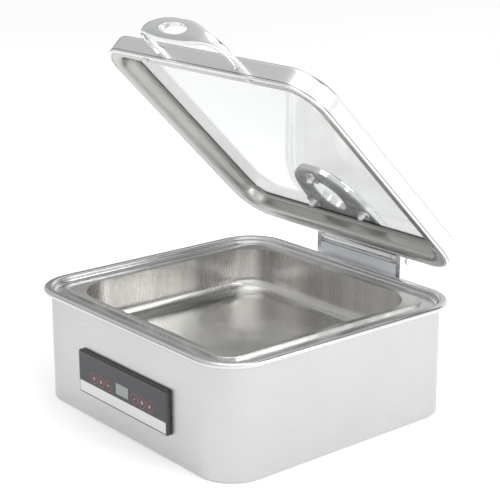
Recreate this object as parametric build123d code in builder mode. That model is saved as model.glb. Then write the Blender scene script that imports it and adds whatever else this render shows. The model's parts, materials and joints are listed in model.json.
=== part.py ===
from build123d import *
from math import copysign, cos, exp, radians, sin, tan
import os

# Square electric chafing dish (buffet food warmer) with a glass lid on a damped hinge.
# Millimetres. +X to the right, +Y to the back, +Z up. The origin is on the table,
# under the middle of the housing. The control panel faces -Y and the hinge is at +Y.
# The lid is modelled open, at its stop.

os.makedirs("parts", exist_ok=True)

# ---------------------------------------------------------------- driving dimensions
body_width = 420
body_depth = 396
body_radius = 52
sheet = 1.2
shell_bottom = 2
shell_top = 155
base_flange = 15
base_level = shell_bottom + sheet
base_top = base_level + sheet

rim_top = 160
rim_roll = 4
rim_overhang = 10.3
seat_level = 151
seat_start = 9

bath_width = 354
bath_depth = 343
bath_radius = 22
bath_floor = 78
bath_cove = 12

pan_width = 361
pan_depth = 350
pan_radius = 23
pan_edge = 5
pan_edge_height = 4
pan_corner = 58
pan_height = 65
pan_cove = 20
pan_sheet = 1
pan_top = seat_level + pan_edge_height

foot_radius = 13
foot_x = 160
foot_y = 148

panel_width = 200
panel_height = 61
panel_level = 66
panel_thickness = 6
strip_height = 15

hinge_y = 234.5
hinge_z = 177.4
open_angle = 45.3
cheek_half = 86
cheek_thickness = 8
cheek_front = 215.7
cheek_back = 253.5
cheek_top = 196.5
hinge_bottom = 88
pin_radius = 5
running_gap = 0.05
barrel_radius = 17
barrel_half = 66

lid_width = 436
lid_depth = 394
lid_radius = 52
lid_height = 29.2
lid_reach = 239.5
lid_rise = 15.8
glass_bottom = 24
glass_thickness = 4
liner_wall = 20
ledge_end = 28
liner_sheet = 1
frame_flange = 26
handle_half = 86
handle_reach = 57
handle_level = 13
leg_size = 8.6
strap_size = 11

arm_bottom = 29.5
arm_thickness = 9
arm_tip = 136.5
stud_points = ((0, 121), (-50.5, 49), (50.5, 49))
stud_radius = 2.5

# ---------------------------------------------------------------- derived places
wall_front = -body_depth / 2
wall_back = body_depth / 2
swing = radians(open_angle)
lid_centre = (
    0,
    hinge_y - lid_reach * cos(swing) - lid_rise * sin(swing),
    hinge_z + lid_reach * sin(swing) - lid_rise * cos(swing),
)
lid_up = (0, sin(swing), cos(swing))
lid_back = (0, cos(swing), -sin(swing))
lid_base = Plane(origin=lid_centre, x_dir=(1, 0, 0), z_dir=lid_up)
lid_axis = Axis(lid_centre, lid_up)
lid_rear = lid_depth / 2
lid_front = -lid_depth / 2


# ---------------------------------------------------------------- shared shapes
def save(part, name):
    """Label a finished piece and write it to its own file."""
    part.label = name
    export_step(part, f"parts/{name}.step")


def rounded_plate(level, width, depth, radius):
    """A rounded rectangle, centred on its plane."""
    with BuildSketch(level) as plate:
        RectangleRounded(width, depth, radius)
    return plate.sketch


def rounded_ring(level, width, depth, radius, inner_width, inner_depth, inner_radius):
    """A rounded rectangle with a rounded rectangular opening."""
    with BuildSketch(level) as ring:
        RectangleRounded(width, depth, radius)
        RectangleRounded(inner_width, inner_depth, inner_radius, mode=Mode.SUBTRACT)
    return ring.sketch


def wall_section(level, width, depth, radius, thickness):
    """The section of a rounded rectangular wall."""
    inner = radius - thickness
    return rounded_ring(
        level, width, depth, radius, width - 2 * thickness, depth - 2 * thickness, inner
    )


def disc(level, points, radius):
    """Equal circles at the given points of a plane."""
    with BuildSketch(level) as discs:
        with Locations(*points):
            Circle(radius)
    return discs.sketch


def block_face(level, centre, width, height, radius=0):
    """A rectangle on a plane, with rounded corners where a radius is given."""
    with BuildSketch(level) as face:
        with Locations(centre):
            if radius:
                RectangleRounded(width, height, radius)
            else:
                Rectangle(width, height)
    return face.sketch


def front_plane(y):
    """A plane facing the front, whose local x is X and local y is Z."""
    return Plane(origin=(0, y, 0), x_dir=(1, 0, 0), z_dir=(0, -1, 0))


def side_plane(x):
    """A plane facing right, whose local x is Y and local y is Z."""
    return Plane(origin=(x, 0, 0), x_dir=(0, 1, 0), z_dir=(1, 0, 0))


def lid_side(x):
    """A plane across the lid, whose local x runs to the hinge and local y is the lid's up."""
    origin = lid_base.from_local_coords((x, 0, 0))
    return Plane(origin=origin, x_dir=lid_back, z_dir=(1, 0, 0))


def lid_face(reach):
    """A plane along the lid's front wall, moved forward, whose local y is the lid's up."""
    origin = lid_base.from_local_coords((0, lid_front - reach, 0))
    return Plane(origin=origin, x_dir=(1, 0, 0), z_dir=-Vector(*lid_back))


def border_path(level, width, depth, radius):
    """A closed rounded rectangular path that starts in the middle of its front side."""
    points = [
        (0, -depth / 2),
        (width / 2, -depth / 2),
        (width / 2, depth / 2),
        (-width / 2, depth / 2),
        (-width / 2, -depth / 2),
    ]
    with BuildLine(level) as path:
        FilletPolyline(*points, radius=[0, radius, radius, radius, radius], close=True)
    return path.wires()[0]


# ---------------------------------------------------------------- housing
base_screw_points = [
    (x, y) for x in (-120, 120) for y in (-188, 188)
] + [(-200, 0), (200, 0)]
flange_hole = 3.1
inlet_x = -120
inlet_z = 40
inlet_width = 27.6
inlet_height = 20
inlet_pitch = 40
inlet_hole = 1.7
inlet_screw_places = [(inlet_x + side * inlet_pitch / 2, inlet_z) for side in (-1, 1)]
window_width = 160
window_height = 34
window_corner = 3
window_place = (0, panel_level + 3)
hinge_screw_points = [(x, z) for x in (-60, 60) for z in (100, 132)]
hinge_screw_radius = 2.5

with BuildPart() as housing_shell:
    extrude(
        wall_section(Plane.XY.offset(shell_bottom), body_width, body_depth, body_radius, sheet),
        amount=shell_top - shell_bottom,
    )
    extrude(
        wall_section(
            Plane.XY.offset(shell_bottom), body_width, body_depth, body_radius, base_flange
        ),
        amount=sheet,
    )
    extrude(
        disc(Plane.XY.offset(shell_bottom), base_screw_points, flange_hole),
        amount=sheet,
        mode=Mode.SUBTRACT,
    )
    extrude(
        block_face(
            front_plane(wall_front), window_place, window_width, window_height, window_corner
        ),
        amount=-sheet,
        mode=Mode.SUBTRACT,
    )
    extrude(
        block_face(front_plane(wall_back), (inlet_x, inlet_z), inlet_width, inlet_height, 2),
        amount=sheet,
        mode=Mode.SUBTRACT,
    )
    extrude(
        disc(front_plane(wall_back), inlet_screw_places, inlet_hole),
        amount=sheet,
        mode=Mode.SUBTRACT,
    )
    extrude(
        disc(front_plane(wall_back), hinge_screw_points, hinge_screw_radius + 0.2),
        amount=sheet,
        mode=Mode.SUBTRACT,
    )
save(housing_shell.part, "housing_shell")

# The top of the body: a rolled rim, a cove inside it, the pan's seat and the water well.
rim_inner = 1.4
cove_radius = 5
rim_shoulder = 3
half_sheet = sheet / 2
with BuildPart() as water_bath:
    with BuildSketch(Plane.YZ):
        with BuildLine():
            roll_y = wall_front - rim_overhang + rim_roll
            roll_z = rim_top - rim_roll
            roll_line = rim_roll - half_sheet
            top_z = rim_top - half_sheet
            seat_z = seat_level - half_sheet
            inner_y = wall_front + rim_inner + half_sheet
            CenterArc((roll_y, roll_z), roll_line, 90, 250)
            Line((roll_y, top_z), (inner_y - rim_shoulder, top_z))
            CenterArc((inner_y - rim_shoulder, top_z - rim_shoulder), rim_shoulder, 0, 90)
            Line((inner_y, top_z - rim_shoulder), (inner_y, seat_z + cove_radius))
            CenterArc((inner_y + cove_radius, seat_z + cove_radius), cove_radius, 180, 90)
            Line((inner_y + cove_radius, seat_z), (wall_front + seat_start, seat_z))
        trace(line_width=sheet)
    sweep(path=border_path(Plane.XY, body_width, body_depth, body_radius))
    extrude(
        rounded_ring(
            Plane.XY.offset(seat_level - sheet),
            body_width - 2 * seat_start,
            body_depth - 2 * seat_start,
            body_radius - seat_start,
            bath_width,
            bath_depth,
            bath_radius,
        ),
        amount=sheet,
    )
    extrude(
        wall_section(
            Plane.XY.offset(bath_floor + bath_cove),
            bath_width + 2 * sheet,
            bath_depth + 2 * sheet,
            bath_radius + sheet,
            sheet,
        ),
        amount=seat_level - bath_floor - bath_cove,
    )
    with BuildSketch(Plane.YZ):
        with BuildLine():
            cove_y = -bath_depth / 2 + bath_cove
            CenterArc((cove_y, bath_floor + bath_cove), bath_cove + half_sheet, 180, 90)
        trace(line_width=sheet)
    sweep(path=border_path(Plane.XY, bath_width, bath_depth, bath_radius))
    extrude(
        rounded_plate(
            Plane.XY.offset(bath_floor - sheet),
            bath_width - 2 * bath_cove,
            bath_depth - 2 * bath_cove,
            bath_radius - bath_cove,
        ),
        amount=sheet,
    )
save(water_bath.part, "water_bath")

# The base plate has a shallow flat pad pressed down in its middle.
rest_width = 100
rest_depth = 130
rest_radius = 8
rest_drop = 1
vent_rows = 6
vent_pitch = 10
vent_length = 70
vent_width = 5
vent_places = ((-95, 40), (95, 40), (95, -60))
base_screw_size = 3.2
foot_screw_size = 4.2
with BuildPart() as base_plate:
    extrude(
        rounded_plate(
            Plane.XY.offset(base_level),
            body_width - 2 * sheet - 1,
            body_depth - 2 * sheet - 1,
            body_radius - sheet - 0.5,
        ),
        amount=sheet,
    )
    extrude(
        rounded_plate(
            Plane.XY.offset(base_level - rest_drop), rest_width, rest_depth, rest_radius
        ),
        amount=rest_drop,
    )
    extrude(
        rounded_plate(
            Plane.XY.offset(base_top - rest_drop),
            rest_width - 2 * sheet,
            rest_depth - 2 * sheet,
            rest_radius - sheet,
        ),
        amount=rest_drop,
        mode=Mode.SUBTRACT,
    )
    with BuildSketch(Plane.XY.offset(base_level)) as base_holes:
        with GridLocations(0, vent_pitch, 1, vent_rows):
            with Locations(*vent_places):
                SlotOverall(vent_length, vent_width)
        with Locations(*base_screw_points):
            Circle(base_screw_size / 2)
        with GridLocations(2 * foot_x, 2 * foot_y, 2, 2):
            Circle(foot_screw_size / 2)
    extrude(base_holes.sketch, amount=sheet, mode=Mode.SUBTRACT)
save(base_plate.part, "base_plate")

screw_reach = 8
with BuildPart() as base_screws:
    extrude(disc(Plane.XY.offset(shell_bottom), base_screw_points, flange_hole - 0.2), amount=sheet)
    extrude(
        disc(Plane.XY.offset(base_level), base_screw_points, base_screw_size / 2 - 0.1),
        amount=screw_reach,
    )
save(base_screws.part, "base_screws")

foot_recess = 1.6
foot_chamfer = 0.8
foot_head_radius = 3.9
foot_head_gap = 0.4
for side_name, foot_side in (("left", -1), ("right", 1)):
    for end_name, foot_end in (("front", -1), ("rear", 1)):
        foot_place = [(foot_side * foot_x, foot_end * foot_y)]
        with BuildPart() as foot:
            extrude(disc(Plane.XY, foot_place, foot_radius), amount=base_level)
            chamfer(foot.faces().sort_by(Axis.Z)[0].edges(), length=foot_chamfer)
            extrude(
                disc(Plane.XY, foot_place, foot_head_radius + 0.3),
                amount=foot_recess,
                mode=Mode.SUBTRACT,
            )
            extrude(
                disc(Plane.XY, foot_place, foot_screw_size / 2),
                amount=base_level,
                mode=Mode.SUBTRACT,
            )
        save(foot.part, f"foot_{end_name}_{side_name}")

foot_points = [(x, y) for x in (-foot_x, foot_x) for y in (-foot_y, foot_y)]
with BuildPart() as foot_screws:
    extrude(
        disc(Plane.XY.offset(foot_head_gap), foot_points, foot_head_radius),
        amount=foot_recess - foot_head_gap,
    )
    extrude(
        disc(Plane.XY.offset(foot_recess), foot_points, foot_screw_size / 2 - 0.1),
        amount=screw_reach,
    )
save(foot_screws.part, "foot_screws")

# ---------------------------------------------------------------- heating, under the well
heater_width = 240
heater_depth = 220
heater_thickness = 5
heater_corner = 12
heater_stud_radius = 2.5
clamp_window = 90
clamp_corner = 10
clamp_thickness = 2
heater_top = bath_floor - sheet
clamp_top = heater_top - heater_thickness
clamp_bottom = clamp_top - clamp_thickness
stud_spacing = 180
heater_stud_points = [
    (x, y) for x in (-stud_spacing / 2, stud_spacing / 2) for y in (-stud_spacing / 2, stud_spacing / 2)
]

with BuildPart() as heater_plate:
    extrude(
        rounded_plate(Plane.XY.offset(clamp_top), heater_width, heater_depth, heater_corner),
        amount=heater_thickness,
    )
    extrude(
        disc(Plane.XY.offset(clamp_top), heater_stud_points, heater_stud_radius + 0.5),
        amount=heater_thickness,
        mode=Mode.SUBTRACT,
    )
save(heater_plate.part, "heater_plate")

with BuildPart() as heater_clamp:
    extrude(
        rounded_ring(
            Plane.XY.offset(clamp_bottom),
            heater_width - 2 * clamp_corner,
            heater_depth - clamp_corner,
            clamp_corner,
            clamp_window,
            clamp_window,
            2 * clamp_corner,
        ),
        amount=clamp_thickness,
    )
    extrude(
        disc(Plane.XY.offset(clamp_bottom), heater_stud_points, heater_stud_radius + 0.1),
        amount=clamp_thickness,
        mode=Mode.SUBTRACT,
    )
save(heater_clamp.part, "heater_clamp")

shield_level = 44
nut_thickness = 4
heater_nut_radius = 4.6
stud_end = shield_level - nut_thickness - 1.5
with BuildPart() as heater_studs:
    extrude(
        disc(Plane.XY.offset(stud_end), heater_stud_points, heater_stud_radius),
        amount=heater_top - stud_end,
    )
save(heater_studs.part, "heater_studs")

with BuildPart() as heater_nuts:
    for nut_level in (clamp_bottom - nut_thickness, shield_level - nut_thickness):
        with BuildSketch(Plane.XY.offset(nut_level)):
            with Locations(*heater_stud_points):
                RegularPolygon(heater_nut_radius, 6)
                Circle(heater_stud_radius + 0.05, mode=Mode.SUBTRACT)
        extrude(amount=nut_thickness)
save(heater_nuts.part, "heater_nuts")

cutout_height = 10
cutout_x = -18
tab_height = 8
with BuildPart() as thermal_cutout:
    extrude(
        disc(Plane.XY.offset(clamp_top - cutout_height), [(cutout_x, 0)], 8),
        amount=cutout_height,
    )
    with BuildSketch(Plane.XY.offset(clamp_top - cutout_height - tab_height)):
        with Locations((cutout_x - 5, 0), (cutout_x + 5, 0)):
            Rectangle(0.8, 6)
    extrude(amount=tab_height)
save(thermal_cutout.part, "thermal_cutout")

probe_place = [(20, 0)]
probe_height = 14
probe_flange = 4
with BuildPart() as temperature_probe:
    extrude(disc(Plane.XY.offset(clamp_top - probe_height), probe_place, 4), amount=probe_height)
    extrude(disc(Plane.XY.offset(clamp_top - probe_flange), probe_place, 7), amount=probe_flange)
save(temperature_probe.part, "temperature_probe")

shield_width = 300
shield_depth = 280
shield_wall = 12
shield_corner = 10
shield_sheet = 1
shield_plane = Plane.XY.offset(shield_level)
with BuildPart() as heat_shield:
    extrude(
        rounded_plate(shield_plane, shield_width, shield_depth, shield_corner),
        amount=shield_sheet,
    )
    extrude(
        wall_section(shield_plane, shield_width, shield_depth, shield_corner, shield_sheet),
        amount=shield_wall,
    )
    extrude(
        disc(shield_plane, heater_stud_points, heater_stud_radius + 0.1),
        amount=shield_sheet,
        mode=Mode.SUBTRACT,
    )
save(heat_shield.part, "heat_shield")

blanket_thickness = 8
blanket_margin = 1.5
blanket_plane = Plane.XY.offset(shield_level + shield_sheet)
with BuildPart() as insulation_board:
    extrude(
        rounded_plate(
            blanket_plane,
            shield_width - 2 * blanket_margin,
            shield_depth - 2 * blanket_margin,
            shield_corner - shield_sheet,
        ),
        amount=blanket_thickness,
    )
    extrude(
        disc(blanket_plane, heater_stud_points, 2 * heater_stud_radius),
        amount=blanket_thickness,
        mode=Mode.SUBTRACT,
    )
save(insulation_board.part, "insulation_board")

# ---------------------------------------------------------------- electronics
board_level = base_top + 8
board_thickness = 1.6
board_x = 60
board_y = -110
board_width = 130
board_depth = 80
board_inset = 5
spacer_radius = 3.5
spacer_pin = 1.6
board_holes = [
    (board_x + side * (board_width / 2 - board_inset), board_y + end * (board_depth / 2 - board_inset))
    for side in (-1, 1)
    for end in (-1, 1)
]
board_top = board_level + board_thickness

with BuildPart() as power_board:
    extrude(
        block_face(Plane.XY.offset(board_level), (board_x, board_y), board_width, board_depth, 2),
        amount=board_thickness,
    )
    extrude(
        disc(Plane.XY.offset(board_level), board_holes, spacer_pin + 0.1),
        amount=board_thickness,
        mode=Mode.SUBTRACT,
    )
save(power_board.part, "power_board")

with BuildPart() as board_spacers:
    extrude(
        disc(Plane.XY.offset(base_top), board_holes, spacer_radius),
        amount=board_level - base_top,
    )
    extrude(
        disc(Plane.XY.offset(board_level), board_holes, spacer_pin), amount=board_thickness + 2
    )
save(board_spacers.part, "board_spacers")

with BuildPart() as power_relay:
    extrude(
        block_face(Plane.XY.offset(board_top), (board_x + 40, board_y - 18), 29, 13, 1), amount=22
    )
    fillet(power_relay.edges().group_by(Axis.Z)[-1], radius=0.8)
save(power_relay.part, "power_relay")

with BuildPart() as transformer:
    extrude(
        block_face(Plane.XY.offset(board_top), (board_x, board_y + 12), 36, 30, 1), amount=24
    )
    fillet(transformer.edges().group_by(Axis.Z)[-1], radius=1.5)
save(transformer.part, "transformer")

terminal_x = board_x - 42
terminal_height = 14
terminal_pitch = 10
terminal_count = 5
with BuildPart() as terminal_block:
    extrude(
        block_face(Plane.XY.offset(board_top), (terminal_x, board_y), 12, 52, 0.5),
        amount=terminal_height,
    )
    with BuildSketch(Plane.XY.offset(board_top + terminal_height)):
        with Locations((terminal_x, board_y)):
            with GridLocations(0, terminal_pitch, 1, terminal_count):
                Circle(2.6)
    extrude(amount=-6, mode=Mode.SUBTRACT)
save(terminal_block.part, "terminal_block")

# ---------------------------------------------------------------- control panel
panel_back = wall_front
gasket_thickness = 0.8
frame_back = panel_back - gasket_thickness
panel_front = frame_back - panel_thickness
face_recess = 1.6
glass_edge = 3.2
panel_radius = 4
panel_round = 2.8
face_width = panel_width - 2 * glass_edge
glass_height = panel_height - 2 * glass_edge - strip_height
glass_level = panel_level + strip_height / 2
screen_width = 28
screen_height = 15.5
screen_x = 1.5
screen_level = 66.5

with BuildPart() as panel_gasket:
    with BuildSketch(front_plane(panel_back)):
        with Locations((0, panel_level)):
            RectangleRounded(panel_width - 8, panel_height - 8, 3)
        with Locations(window_place):
            RectangleRounded(window_width, window_height, window_corner, mode=Mode.SUBTRACT)
    extrude(amount=gasket_thickness)
save(panel_gasket.part, "panel_gasket")

with BuildPart() as panel_frame:
    extrude(
        block_face(
            front_plane(frame_back), (0, panel_level), panel_width, panel_height, panel_radius
        ),
        amount=panel_thickness,
    )
    fillet(panel_frame.faces().sort_by(Axis.Y)[0].edges(), radius=panel_round)
    extrude(
        block_face(
            front_plane(panel_front + face_recess),
            (0, panel_level),
            face_width,
            panel_height - 2 * glass_edge,
            1,
        ),
        amount=face_recess,
        mode=Mode.SUBTRACT,
    )
    extrude(
        block_face(
            front_plane(frame_back), window_place, window_width, window_height, window_corner
        ),
        amount=panel_thickness - face_recess,
        mode=Mode.SUBTRACT,
    )
save(panel_frame.part, "panel_frame")

with BuildPart() as touch_glass:
    extrude(
        block_face(
            front_plane(panel_front + face_recess), (0, glass_level), face_width, glass_height, 1
        ),
        amount=face_recess,
    )
    extrude(
        block_face(
            front_plane(panel_front + face_recess),
            (screen_x, screen_level),
            screen_width,
            screen_height,
        ),
        amount=face_recess,
        mode=Mode.SUBTRACT,
    )
save(touch_glass.part, "touch_glass")

with BuildPart() as display_window:
    extrude(
        block_face(
            front_plane(panel_front + face_recess),
            (screen_x, screen_level),
            screen_width,
            screen_height,
        ),
        amount=face_recess - 0.2,
    )
save(display_window.part, "display_window")

strip_centre = panel_level - panel_height / 2 + glass_edge + strip_height / 2
with BuildPart() as trim_strip:
    extrude(
        block_face(
            front_plane(panel_front + face_recess),
            (0, strip_centre),
            face_width,
            strip_height,
            1,
        ),
        amount=face_recess,
    )
save(trim_strip.part, "trim_strip")

display_board_y = panel_front + face_recess + 3
module_thickness = 2.8
with BuildPart() as display_board:
    extrude(
        block_face(
            front_plane(display_board_y + board_thickness),
            window_place,
            window_width - 2,
            window_height - 2,
            window_corner - 1,
        ),
        amount=board_thickness,
    )
save(display_board.part, "display_board")

with BuildPart() as display_module:
    extrude(
        block_face(front_plane(display_board_y), (screen_x, screen_level), 32, 20),
        amount=module_thickness,
    )
save(display_module.part, "display_module")

key_level = 64.5
key_radius = 5
key_points = [(side * x, key_level) for side in (-1, 1) for x in (29.5, 46, 62.5)]
with BuildPart() as key_sensors:
    extrude(disc(front_plane(display_board_y), key_points, key_radius), amount=module_thickness)
save(key_sensors.part, "key_sensors")

# ---------------------------------------------------------------- mains inlet at the back
inlet_depth = 18
inlet_flange = 2
inlet_fixings = [(-inlet_pitch / 2, 0), (inlet_pitch / 2, 0)]
inlet_plane = Plane(origin=(inlet_x, wall_back, inlet_z), x_dir=(-1, 0, 0), z_dir=(0, 1, 0))
with BuildPart() as power_inlet:
    with BuildSketch(inlet_plane):
        SlotCenterToCenter(inlet_pitch, 12)
        RectangleRounded(31, 23, 3)
    extrude(amount=inlet_flange)
    with BuildSketch(inlet_plane):
        RectangleRounded(inlet_width - 0.4, inlet_height - 0.4, 2)
    extrude(amount=-inlet_depth)
    with BuildSketch(inlet_plane.offset(inlet_flange)):
        RectangleRounded(24.4, 16.8, 1.5)
    extrude(amount=-inlet_depth, mode=Mode.SUBTRACT)
    extrude(
        disc(inlet_plane, inlet_fixings, inlet_hole), amount=inlet_flange, mode=Mode.SUBTRACT
    )
save(power_inlet.part, "power_inlet")

with BuildPart() as inlet_pins:
    with BuildSketch(inlet_plane.offset(inlet_flange - inlet_depth)):
        with Locations((-7, -2), (0, 2), (7, -2)):
            Rectangle(2, 4)
    extrude(amount=10)
save(inlet_pins.part, "inlet_pins")

small_head = 2.8
small_head_height = 1.6
with BuildPart() as inlet_screws:
    extrude(
        disc(inlet_plane.offset(inlet_flange), inlet_fixings, small_head),
        amount=small_head_height,
    )
    extrude(
        disc(inlet_plane.offset(inlet_flange), inlet_fixings, inlet_hole - 0.2), amount=-9
    )
save(inlet_screws.part, "inlet_screws")

# The three mains leads run in one sleeve from the inlet to the terminal block.
sleeve_radius = 3.5
sleeve_route = [
    (inlet_x, wall_back - inlet_depth, inlet_z),
    (inlet_x, 150, inlet_z),
    (inlet_x + 6, 106, 24),
    (-90, 60, 15),
    (-52, 10, 13),
    (-34, -42, 14),
    (-36, -82, 18),
    (-18, board_y, 21),
    (board_x - 48, board_y, 21),
]


def corner_radii(route):
    """The largest arc that fits each corner of a route without using up its runs."""
    radii = []
    for before, corner, after in zip(route, route[1:], route[2:]):
        run_in = Vector(*corner) - Vector(*before)
        run_out = Vector(*after) - Vector(*corner)
        half_turn = radians(run_in.get_angle(run_out)) / 2
        radii.append(0.45 * min(run_in.length, run_out.length) / tan(half_turn))
    return radii


sleeve_radii = corner_radii(sleeve_route)
print("sleeve arc radii, mm:", [round(radius) for radius in sleeve_radii])
with BuildPart() as mains_leads:
    with BuildLine():
        FilletPolyline(*sleeve_route, radius=sleeve_radii)
    with BuildSketch(Plane(origin=sleeve_route[0], z_dir=(0, -1, 0))):
        Circle(sleeve_radius)
    sweep()
save(mains_leads.part, "mains_leads")

# ---------------------------------------------------------------- hinge, fixed side
mount_thickness = 4
rim_clear = 146
chamfer_level = 112
shelf_end = 229.5
shelf_thickness = 3
cheek_round = 11
cover_thickness = 1.7
cover_screw_points = [(-74, 124), (74, 124)]
cover_screw_radius = 1.5
cover_screw_length = 7
boss_depth = 7.8
with BuildPart() as hinge_bracket:
    for cheek_x in (-cheek_half, cheek_half - cheek_thickness):
        with BuildSketch(side_plane(cheek_x)) as cheek_face:
            with BuildLine():
                Polyline(
                    (wall_back, hinge_bottom),
                    (shelf_end + 2.5, hinge_bottom),
                    (cheek_back, chamfer_level),
                    (cheek_back, cheek_top),
                    (cheek_front, cheek_top),
                    (cheek_front, rim_clear),
                    (wall_back, rim_clear),
                    close=True,
                )
            make_face()
            top_corners = cheek_face.vertices().group_by(Axis.Y)[-1]
            fillet(top_corners, radius=cheek_round)
        extrude(amount=cheek_thickness)
    extrude(
        block_face(
            front_plane(wall_back),
            (0, (hinge_bottom + rim_clear) / 2),
            2 * (cheek_half - cheek_thickness),
            rim_clear - hinge_bottom,
        ),
        amount=-mount_thickness,
    )
    extrude(
        block_face(
            Plane.XY.offset(hinge_bottom),
            (0, (wall_back + shelf_end) / 2),
            2 * (cheek_half - cheek_thickness),
            shelf_end - wall_back,
        ),
        amount=shelf_thickness,
    )
    with BuildSketch(front_plane(cheek_back - cover_thickness - boss_depth)):
        with Locations(*cover_screw_points):
            Rectangle(8, 10)
    extrude(amount=-boss_depth)
    extrude(
        disc(side_plane(-cheek_half), [(hinge_y, hinge_z)], pin_radius),
        amount=2 * cheek_half,
        mode=Mode.SUBTRACT,
    )
    extrude(
        disc(front_plane(wall_back), hinge_screw_points, hinge_screw_radius + 0.1),
        amount=-mount_thickness,
        mode=Mode.SUBTRACT,
    )
    extrude(
        disc(front_plane(cheek_back - 1.5), cover_screw_points, cover_screw_radius),
        amount=cover_screw_length,
        mode=Mode.SUBTRACT,
    )
save(hinge_bracket.part, "hinge_bracket")

slot_bottom = 173.4
plate_half = cheek_half - cheek_thickness
plate_sheet = 1.4
plate_back = cheek_front + plate_sheet
with BuildPart() as hinge_front_plate:
    extrude(
        block_face(
            front_plane(plate_back),
            (0, (rim_clear + slot_bottom) / 2),
            2 * plate_half,
            slot_bottom - rim_clear,
        ),
        amount=plate_sheet,
    )
    extrude(
        block_face(
            Plane.XY.offset(rim_clear),
            (0, (wall_back + plate_back) / 2),
            2 * plate_half,
            plate_back - wall_back,
        ),
        amount=plate_sheet,
    )
save(hinge_front_plate.part, "hinge_front_plate")

cover_inner = cheek_back - cover_thickness
cover_top = 160
with BuildPart() as hinge_rear_cover:
    with BuildSketch(side_plane(-plate_half)):
        with BuildLine():
            Polyline(
                (cheek_back, cover_top),
                (cheek_back, chamfer_level),
                (shelf_end + 2.5, hinge_bottom),
                (shelf_end + 0.2, hinge_bottom),
                (cover_inner, chamfer_level + 0.8),
                (cover_inner, cover_top),
                close=True,
            )
        make_face()
    extrude(amount=2 * plate_half)
    extrude(
        disc(front_plane(cheek_back), cover_screw_points, 1.7),
        amount=cover_thickness,
        mode=Mode.SUBTRACT,
    )
save(hinge_rear_cover.part, "hinge_rear_cover")

with BuildPart() as cover_screws:
    extrude(
        disc(front_plane(cheek_back + small_head_height), cover_screw_points, small_head),
        amount=small_head_height,
    )
    extrude(
        disc(front_plane(cheek_back), cover_screw_points, cover_screw_radius - 0.05),
        amount=cover_screw_length,
    )
save(cover_screws.part, "cover_screws")

backing_thickness = 3
inner_wall = wall_back - sheet
with BuildPart() as hinge_backing_plate:
    extrude(
        block_face(front_plane(inner_wall), (0, 116), 150, 50, 4), amount=backing_thickness
    )
    extrude(
        disc(front_plane(inner_wall), hinge_screw_points, hinge_screw_radius + 0.1),
        amount=backing_thickness,
        mode=Mode.SUBTRACT,
    )
save(hinge_backing_plate.part, "hinge_backing_plate")

head_y = wall_back + mount_thickness
head_height = 3
head_radius = 4.6
with BuildPart() as hinge_screws:
    extrude(disc(front_plane(head_y + head_height), hinge_screw_points, head_radius), amount=head_height)
    extrude(disc(front_plane(head_y), hinge_screw_points, hinge_screw_radius), amount=12)
save(hinge_screws.part, "hinge_screws")

axis_point = [(hinge_y, hinge_z)]
with BuildPart() as hinge_pin:
    extrude(disc(side_plane(-cheek_half), axis_point, pin_radius), amount=2 * cheek_half)
save(hinge_pin.part, "hinge_pin")

cap_thickness = 2.5
cap_radius = 7.5
with BuildPart() as pin_caps:
    for cap_x in (-cheek_half - cap_thickness, cheek_half):
        extrude(disc(side_plane(cap_x), axis_point, cap_radius), amount=cap_thickness)
    cap_ends = pin_caps.edges().filter_by(GeomType.CIRCLE)
    fillet(cap_ends.group_by(Axis.X)[0] + cap_ends.group_by(Axis.X)[-1], radius=1.5)
save(pin_caps.part, "pin_caps")

damper_gap = 0.4
damper_length = plate_half - barrel_half - damper_gap
for damper_name, damper_x in (
    ("hinge_damper_left", -plate_half),
    ("hinge_damper_right", barrel_half + damper_gap),
):
    with BuildPart() as damper:
        extrude(disc(side_plane(damper_x), axis_point, barrel_radius - 0.4), amount=damper_length)
        extrude(
            disc(side_plane(damper_x), axis_point, pin_radius),
            amount=damper_length,
            mode=Mode.SUBTRACT,
        )
    save(damper.part, damper_name)

spring_radius = 8.5
spring_wire = 1
spring_length = 84
spring_pitch = 7
with BuildPart() as hinge_spring:
    with BuildLine():
        coil = Helix(
            pitch=spring_pitch,
            height=spring_length,
            radius=spring_radius,
            center=(-spring_length / 2, hinge_y, hinge_z),
            direction=(1, 0, 0),
        )
    with BuildSketch(Plane(origin=coil @ 0, z_dir=coil % 0)):
        Circle(spring_wire)
    sweep()
save(hinge_spring.part, "hinge_spring")

# ---------------------------------------------------------------- hinge, lid side
barrel_y = lid_reach
barrel_h = lid_rise
arm_top = arm_bottom + arm_thickness
bush_radius = 8
bush_length = 14
cavity_radius = 12
groove_angle = 184.5
groove_width = 4.4
groove_depth = 5

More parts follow.
